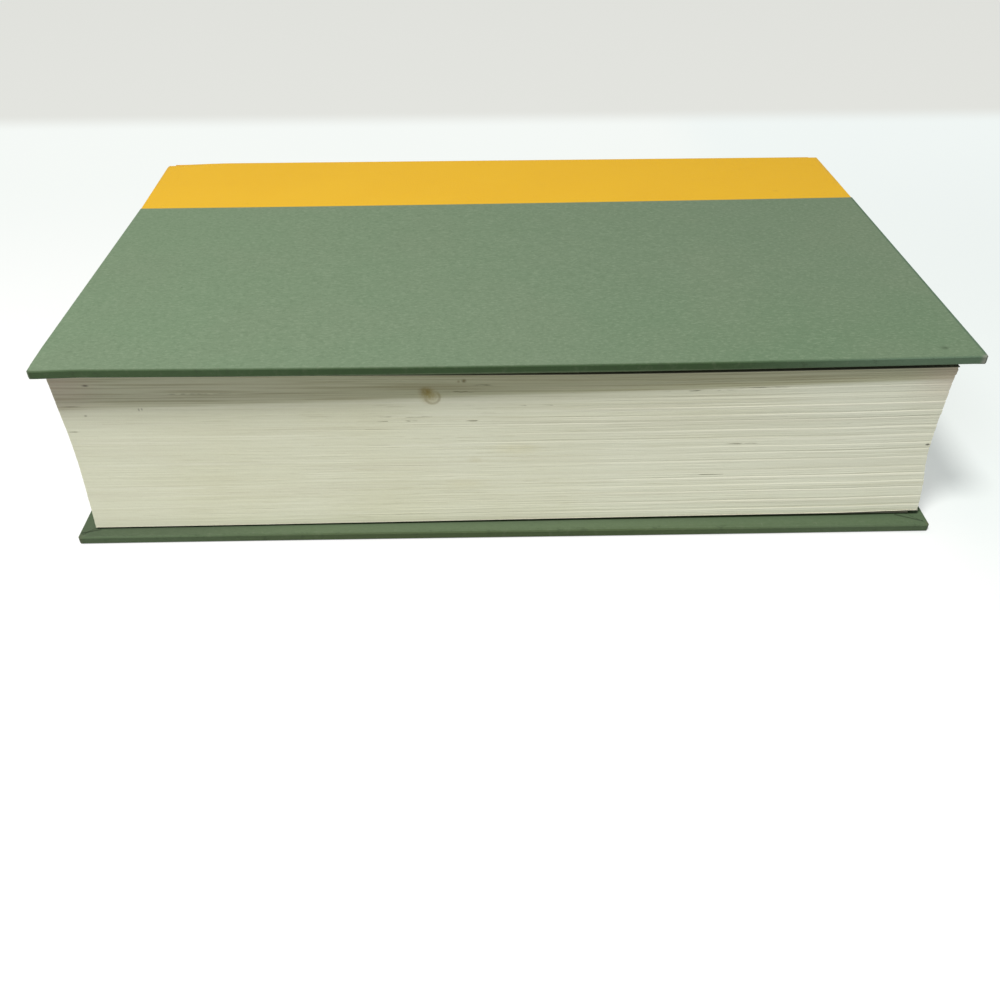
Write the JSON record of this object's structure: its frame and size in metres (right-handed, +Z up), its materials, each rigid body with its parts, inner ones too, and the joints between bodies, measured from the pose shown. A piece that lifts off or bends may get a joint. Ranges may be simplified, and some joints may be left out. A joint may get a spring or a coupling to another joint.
{
  "type": "hardback book",
  "caption": "Closed hardback book with a cloth spine and paper sides, whose two covers swing open at the joints.",
  "frame": {"origin": "centre of the closed book's box, on its underside", "axes": "+X along the spine, +Y toward the spine, -Y toward the fore edge, +Z up from the back cover"},
  "size_m": [0.2414, 0.1632, 0.0557],
  "materials": {
    "leaves": "matt, cut edges",
    "endpaper": "matt",
    "mull": "open weave, sized",
    "lining_paper": "matt",
    "band_thread": "woven",
    "inlay_card": "matt",
    "spine_cloth": "fine weave, filled",
    "greyboard": "matt",
    "side_paper": "matt, faintly mottled"
  },
  "bodies": {
    "book_block": {"text_block": "leaves", "front_flyleaf": "endpaper", "back_flyleaf": "endpaper", "spine_mull": "mull", "spine_lining": "lining_paper", "headband": "band_thread", "tailband": "band_thread", "spine_inlay": "inlay_card", "spine_cloth": "spine_cloth"},
    "front_cover": {"front_board": "greyboard", "front_side_paper": "side_paper", "front_cloth_lap": "spine_cloth", "front_mull_flap": "mull", "front_pastedown": "endpaper"},
    "back_cover": {"back_board": "greyboard", "back_side_paper": "side_paper", "back_cloth_lap": "spine_cloth", "back_mull_flap": "mull", "back_pastedown": "endpaper"}
  },
  "joints": [
    {"name": "front_cover_hinge", "type": "hinge", "parent": "book_block", "child": "front_cover", "pos_m": [0, 0.07822, 0.05317], "axis": [-1, 0, 0], "range_deg": [0, 180]},
    {"name": "back_cover_hinge", "type": "hinge", "parent": "book_block", "child": "back_cover", "pos_m": [0, 0.07822, 0.00255], "axis": [1, 0, 0], "range_deg": [0, 180]}
  ]
}
